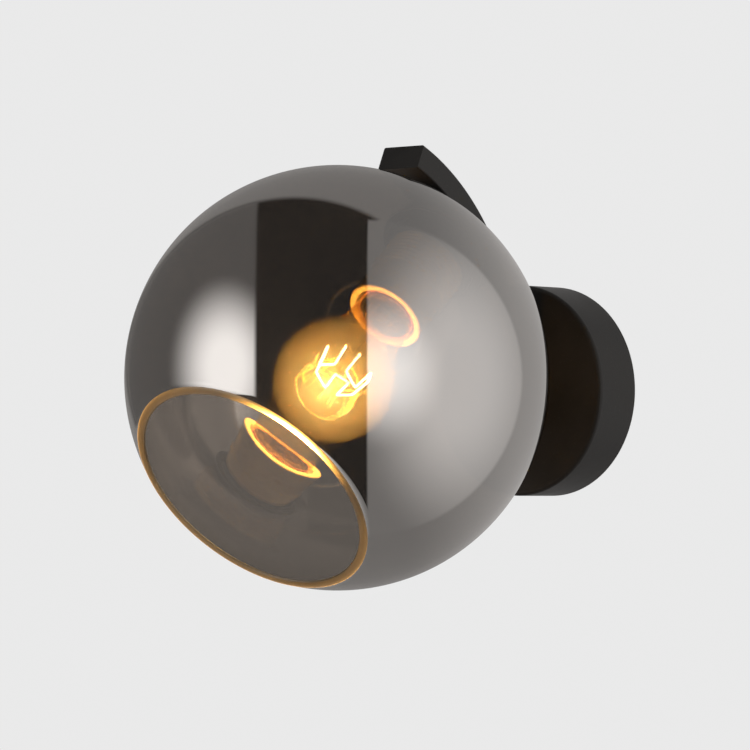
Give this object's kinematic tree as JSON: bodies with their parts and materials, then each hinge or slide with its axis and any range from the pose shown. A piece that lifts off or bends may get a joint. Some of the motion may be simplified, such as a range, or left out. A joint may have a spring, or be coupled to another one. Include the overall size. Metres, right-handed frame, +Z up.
{
  "type": "globe wall sconce",
  "caption": "Wall light with a cut-open smoked glass globe hung at a slant from a curved black arm on a round black wall plate, lit by an amber screw-in bulb.",
  "frame": {"origin": "middle of the wall plate's back in the plane of the wall, where the fixing strap is screwed on", "axes": "+Z up, -Y out of the wall towards the room (the lamp's front), +X to the right seen from the front"},
  "size_m": [0.2, 0.2615, 0.212],
  "materials": {
    "black_coat": "satin black powder coat on steel",
    "black_screw": "blackened steel",
    "zinc_steel": "zinc plated",
    "contact_brass": "bright machined brass",
    "white_nylon": "moulded nylon",
    "black_plastic": "moulded, heat resistant",
    "holder_metal": "polished, rolled lip",
    "ceramic": "glazed white ceramic",
    "shell_copper": "rolled copper alloy sheet",
    "clear_silicone": "translucent silicone",
    "smoked_glass": "smoke tinted with a half-mirror coat outside",
    "amber_glass": "clear amber glass",
    "stem_glass": "clear pressed glass",
    "cap_brass": "rolled brass sheet",
    "cap_insulator": "black glass",
    "cap_solder": "solder",
    "support_wire": "drawn wire",
    "filament": "glowing filament",
    "brown_sleeve": "silicone sleeve",
    "blue_sleeve": "silicone sleeve",
    "earth_sleeve": "green and yellow sleeve"
  },
  "bodies": {
    "lamp_frame": {"mounting_strap": "zinc_steel", "wall_plate": "black_coat", "side_screws": "black_screw", "terminal_block": "white_nylon", "terminal_sleeves": "contact_brass", "terminal_screws": "zinc_steel", "block_screw": "zinc_steel", "earth_screw": "contact_brass", "earth_washer": "contact_brass", "earth_tags": "zinc_steel", "plate_nipple": "zinc_steel", "lock_washer": "zinc_steel", "plate_nut": "zinc_steel", "arm_neck": "black_coat", "arm": "black_coat", "arm_tip_cap": "black_coat", "arm_foot_cap": "black_coat", "lamp_bush": "black_coat", "holder_nipple": "zinc_steel", "holder_cup": "black_coat", "glass_gasket": "clear_silicone", "glass_globe": "smoked_glass", "holder_dome": "black_plastic", "holder_skirt": "holder_metal", "holder_core": "ceramic", "holder_terminals": "contact_brass", "holder_terminal_screws": "zinc_steel", "screw_shell": "shell_copper", "centre_contact": "contact_brass", "live_wire": "brown_sleeve", "neutral_wire": "blue_sleeve", "earth_wire": "earth_sleeve"},
    "bulb": {"bulb_cap": "cap_brass", "bulb_cap_insulator": "cap_insulator", "bulb_contact": "cap_solder", "bulb_filament": "filament", "bulb_glass": "amber_glass", "bulb_lead_wires": "support_wire", "bulb_stem": "stem_glass", "bulb_support_wires": "support_wire"},
    "shade_ring": {"shade_ring": "black_plastic"}
  },
  "joints": [
    {"name": "bulb_unscrew", "type": "slide", "parent": "lamp_frame", "child": "bulb", "axis": [0, -0.7501, -0.6613], "range_m": [0, 0.0218]},
    {"name": "shade_ring_unscrew", "type": "slide", "parent": "lamp_frame", "child": "shade_ring", "axis": [0, -0.7501, -0.6613], "range_m": [0, 0.03]}
  ]
}
